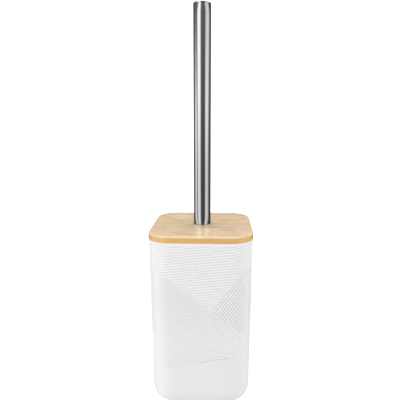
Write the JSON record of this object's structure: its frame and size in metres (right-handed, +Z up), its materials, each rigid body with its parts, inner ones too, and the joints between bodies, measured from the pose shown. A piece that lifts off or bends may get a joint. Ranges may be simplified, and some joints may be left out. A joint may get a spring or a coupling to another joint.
{
  "type": "toilet brush holder",
  "caption": "Square white canister with ribbed relief and a toilet brush that hangs in it from a flat bamboo lid with a straight brushed-steel handle.",
  "frame": {"origin": "middle of the footprint, on the plane the four foot pads stand on", "axes": "+Z up along the handle; the front face looks towards -Y; +X to the right seen from the front"},
  "size_m": [0.1, 0.1, 0.3869],
  "materials": {
    "canister_plastic": "matte white, fine parallel ridges in patches",
    "foot_rubber": "matte grey",
    "lid_bamboo": "satin lacquered bamboo",
    "washer_rubber": "matte pale grey",
    "stud_steel": "zinc-plated thread",
    "stem_plastic": "moulded white",
    "insert_plastic": "moulded pale grey",
    "handle_steel": "brushed along its length",
    "bristle_fibre": "white fibre"
  },
  "bodies": {
    "holder": {"holder_body": "canister_plastic", "foot_pad_front_left": "foot_rubber", "foot_pad_front_right": "foot_rubber", "foot_pad_back_left": "foot_rubber", "foot_pad_back_right": "foot_rubber"},
    "brush": {"lid_board": "lid_bamboo", "lid_washer": "washer_rubber", "joining_stud": "stud_steel", "brush_stem": "stem_plastic", "handle_insert": "insert_plastic", "handle_tube": "handle_steel", "handle_top_cap": "handle_steel"},
    "head_ring": {"head_washer": "washer_rubber"},
    "head": {"head_core": "stem_plastic", "bristle_row_1": "bristle_fibre", "bristle_row_2": "bristle_fibre", "bristle_row_3": "bristle_fibre", "bristle_row_4": "bristle_fibre", "bristle_row_5": "bristle_fibre", "bristle_row_6": "bristle_fibre", "bristle_row_7": "bristle_fibre", "bristle_row_8": "bristle_fibre", "bristle_crown": "bristle_fibre"}
  },
  "joints": [
    {"name": "brush_lift", "type": "slide", "parent": "holder", "child": "brush", "axis": [0, 0, 1], "range_m": [0, 0.18]},
    {"name": "head_back_off", "type": "slide", "parent": "brush", "child": "head_ring", "axis": [0, 0, -1], "range_m": [0, 0.01301]},
    {"name": "head_unscrew", "type": "hinge", "parent": "head_ring", "child": "head", "pos_m": [0, 0, 0.1], "axis": [0, 0, -1], "range_deg": [0, 1440]}
  ],
  "couplings": [
    {"joint": "head_back_off", "follows": "head_unscrew", "m_per_rad": 0.00051725}
  ]
}
